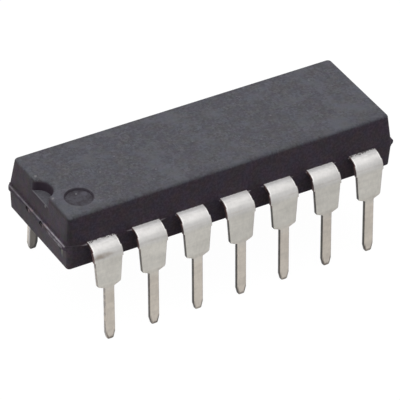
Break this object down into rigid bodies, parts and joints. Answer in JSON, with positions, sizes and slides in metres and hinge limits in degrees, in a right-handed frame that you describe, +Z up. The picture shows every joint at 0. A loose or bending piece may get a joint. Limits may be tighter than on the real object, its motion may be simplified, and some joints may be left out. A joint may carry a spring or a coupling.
{
  "type": "dual in-line integrated circuit",
  "caption": "Plastic dual in-line chip package with bent tinned leads, end notch and lead-one dot, and its die, pad and bond wires inside",
  "frame": {"origin": "midway between the two lead rows and the two ends, on the plane of the lead tips", "axes": "+X along the body, away from the notch; +Y from lead row 1-7 to row 8-14; +Z up, out of the top face"},
  "size_m": [0.0194, 0.0086, 0.0072],
  "materials": {
    "moulding_compound": "dark grey epoxy moulding compound, fine matt grain from the mould",
    "tin_plate": "satin tin plate over a stamped copper alloy strip",
    "bare_copper": "bare copper alloy, seen only where the tie bars were broken off",
    "die_adhesive": "silver-filled epoxy",
    "silicon": "polished silicon with a passivated top",
    "gold_wire": "drawn gold wire"
  },
  "bodies": {
    "root": {"mould_body": "moulding_compound", "die_pad": "bare_copper", "die_attach": "die_adhesive", "die": "silicon", "lead_01": "tin_plate", "lead_02": "tin_plate", "lead_03": "tin_plate", "lead_04": "tin_plate", "lead_05": "tin_plate", "lead_06": "tin_plate", "lead_07": "tin_plate", "lead_08": "tin_plate", "lead_09": "tin_plate", "lead_10": "tin_plate", "lead_11": "tin_plate", "lead_12": "tin_plate", "lead_13": "tin_plate", "lead_14": "tin_plate", "bond_wire_01": "gold_wire", "bond_wire_02": "gold_wire", "bond_wire_03": "gold_wire", "bond_wire_04": "gold_wire", "bond_wire_05": "gold_wire", "bond_wire_06": "gold_wire", "bond_wire_07": "gold_wire", "bond_wire_08": "gold_wire", "bond_wire_09": "gold_wire", "bond_wire_10": "gold_wire", "bond_wire_11": "gold_wire", "bond_wire_12": "gold_wire", "bond_wire_13": "gold_wire", "bond_wire_14": "gold_wire"}
  },
  "joints": []
}
